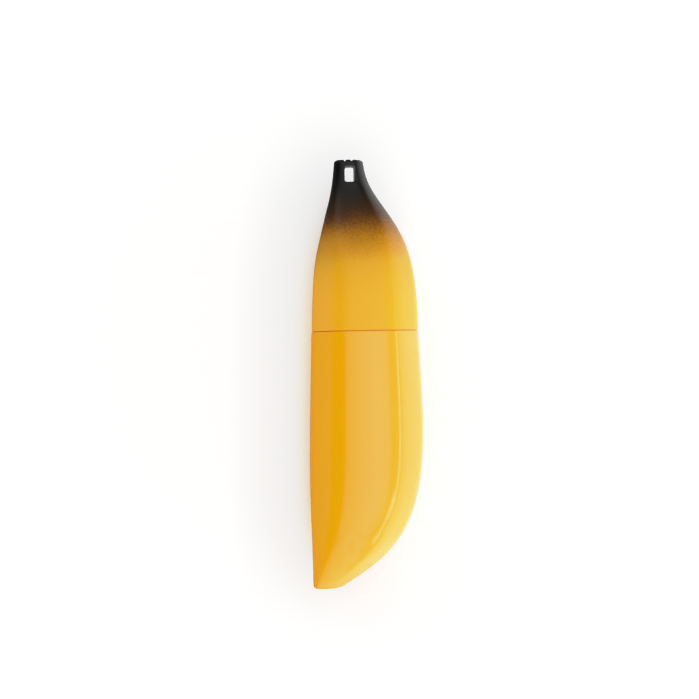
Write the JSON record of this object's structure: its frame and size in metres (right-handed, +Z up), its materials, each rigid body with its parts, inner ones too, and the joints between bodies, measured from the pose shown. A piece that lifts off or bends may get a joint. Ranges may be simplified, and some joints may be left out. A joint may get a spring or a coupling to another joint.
{
  "type": "banana-shaped case",
  "caption": "Hollow hard case shaped like a banana: a long yellow body with a blunt tip, and a pull-off cap that fades to a dark stem with a strap slot.",
  "frame": {"origin": "on the surface the case lies on, under the middle of its bounding box", "axes": "+Y along the case towards the stem, +X across it towards the outer curve, +Z up from the side it lies on"},
  "size_m": [0.0723, 0.27, 0.0625],
  "materials": {
    "body": "glossy moulded yellow",
    "cap": "satin sprayed yellow, fading through golden brown to black at the stem",
    "sleeve": "plain satin moulded yellow"
  },
  "bodies": {
    "case_body": {"body_shell": "body", "neck_sleeve": "sleeve"},
    "case_cap": {"cap_shell": "cap"}
  },
  "joints": [
    {"name": "cap_pull", "type": "slide", "parent": "case_body", "child": "case_cap", "axis": [0, 1, 0], "range_m": [0, 0.08]}
  ]
}
